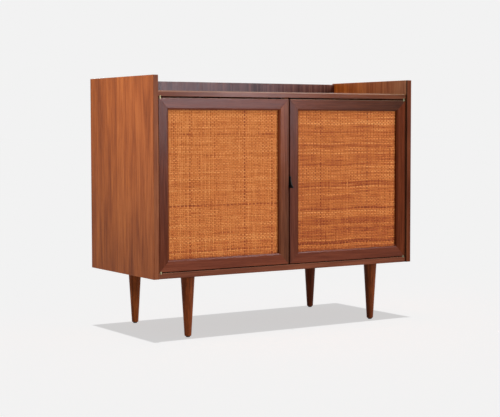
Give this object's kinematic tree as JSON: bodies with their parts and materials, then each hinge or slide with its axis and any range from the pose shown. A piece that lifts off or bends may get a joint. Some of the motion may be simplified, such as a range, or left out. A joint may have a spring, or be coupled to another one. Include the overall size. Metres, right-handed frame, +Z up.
{
  "type": "record cabinet",
  "caption": "Low walnut record cabinet with a gallery round its top, hinged doors of woven cane in mitred frames, record bays inside and round tapered legs.",
  "frame": {"origin": "on the floor under the middle of the whole object, pull included", "axes": "+Z up, +X to the right of someone facing the doors, doors face -Y"},
  "size_m": [1.067, 0.475, 0.869],
  "materials": {
    "walnut_case": "satin oiled walnut veneer",
    "walnut_frame": "satin oiled solid walnut",
    "walnut_leg": "satin turned walnut",
    "inside_wood": "satin veneer",
    "cane": "woven natural cane",
    "backing_wood": "plain plywood",
    "beech": "plain beech",
    "brass": "aged brass",
    "steel": "zinc plated",
    "black_metal": "satin black",
    "black_plastic": "matt",
    "brown_plastic": "matt"
  },
  "bodies": {
    "cabinet": {"back_panel": "walnut_case", "back_panel_screws": "steel", "board_dowels": "beech", "bottom_board": "walnut_case", "case_hinge_screws": "brass", "catch_magnets": "steel", "catch_screws": "steel", "centre_partition": "inside_wood", "floor_glides": "black_plastic", "hanger_bolts": "steel", "left_back_leg": "walnut_leg", "left_catch": "brown_plastic", "left_front_leg": "walnut_leg", "left_lower_case_leaf": "brass", "left_record_divider_1": "inside_wood", "left_record_divider_2": "inside_wood", "left_shelf": "inside_wood", "left_side_panel": "walnut_case", "left_upper_case_leaf": "brass", "leg_plate_screws": "steel", "leg_plates": "steel", "partition_dowels": "beech", "right_back_leg": "walnut_leg", "right_catch": "brown_plastic", "right_front_leg": "walnut_leg", "right_lower_case_leaf": "brass", "right_record_divider_1": "inside_wood", "right_record_divider_2": "inside_wood", "right_shelf": "inside_wood", "right_side_panel": "walnut_case", "right_upper_case_leaf": "brass", "shelf_pins": "steel", "top_board": "walnut_case"},
    "left_door": {"left_door_hinge_stile": "walnut_frame", "left_door_meeting_stile": "walnut_frame", "left_door_top_rail": "walnut_frame", "left_door_bottom_rail": "walnut_frame", "left_cane_panel": "cane", "left_backing_panel": "backing_wood", "left_panel_beads": "backing_wood", "left_mitre_keys": "beech", "left_upper_door_leaf": "brass", "left_lower_door_leaf": "brass", "left_strike_plate": "steel", "left_door_screws": "brass"},
    "right_door": {"right_door_hinge_stile": "walnut_frame", "right_door_meeting_stile": "walnut_frame", "right_door_top_rail": "walnut_frame", "right_door_bottom_rail": "walnut_frame", "right_cane_panel": "cane", "right_backing_panel": "backing_wood", "right_panel_beads": "backing_wood", "right_mitre_keys": "beech", "right_upper_door_leaf": "brass", "right_lower_door_leaf": "brass", "right_strike_plate": "steel", "right_door_screws": "brass", "door_pull": "black_metal", "pull_screws": "steel"}
  },
  "joints": [
    {"name": "left_door_hinge", "type": "hinge", "parent": "cabinet", "child": "left_door", "pos_m": [-0.5045, -0.2151, 0.2275], "axis": [0, 0, -1], "range_deg": [0, 105]},
    {"name": "right_door_hinge", "type": "hinge", "parent": "cabinet", "child": "right_door", "pos_m": [0.5045, -0.2151, 0.2275], "axis": [0, 0, 1], "range_deg": [0, 105]}
  ]
}
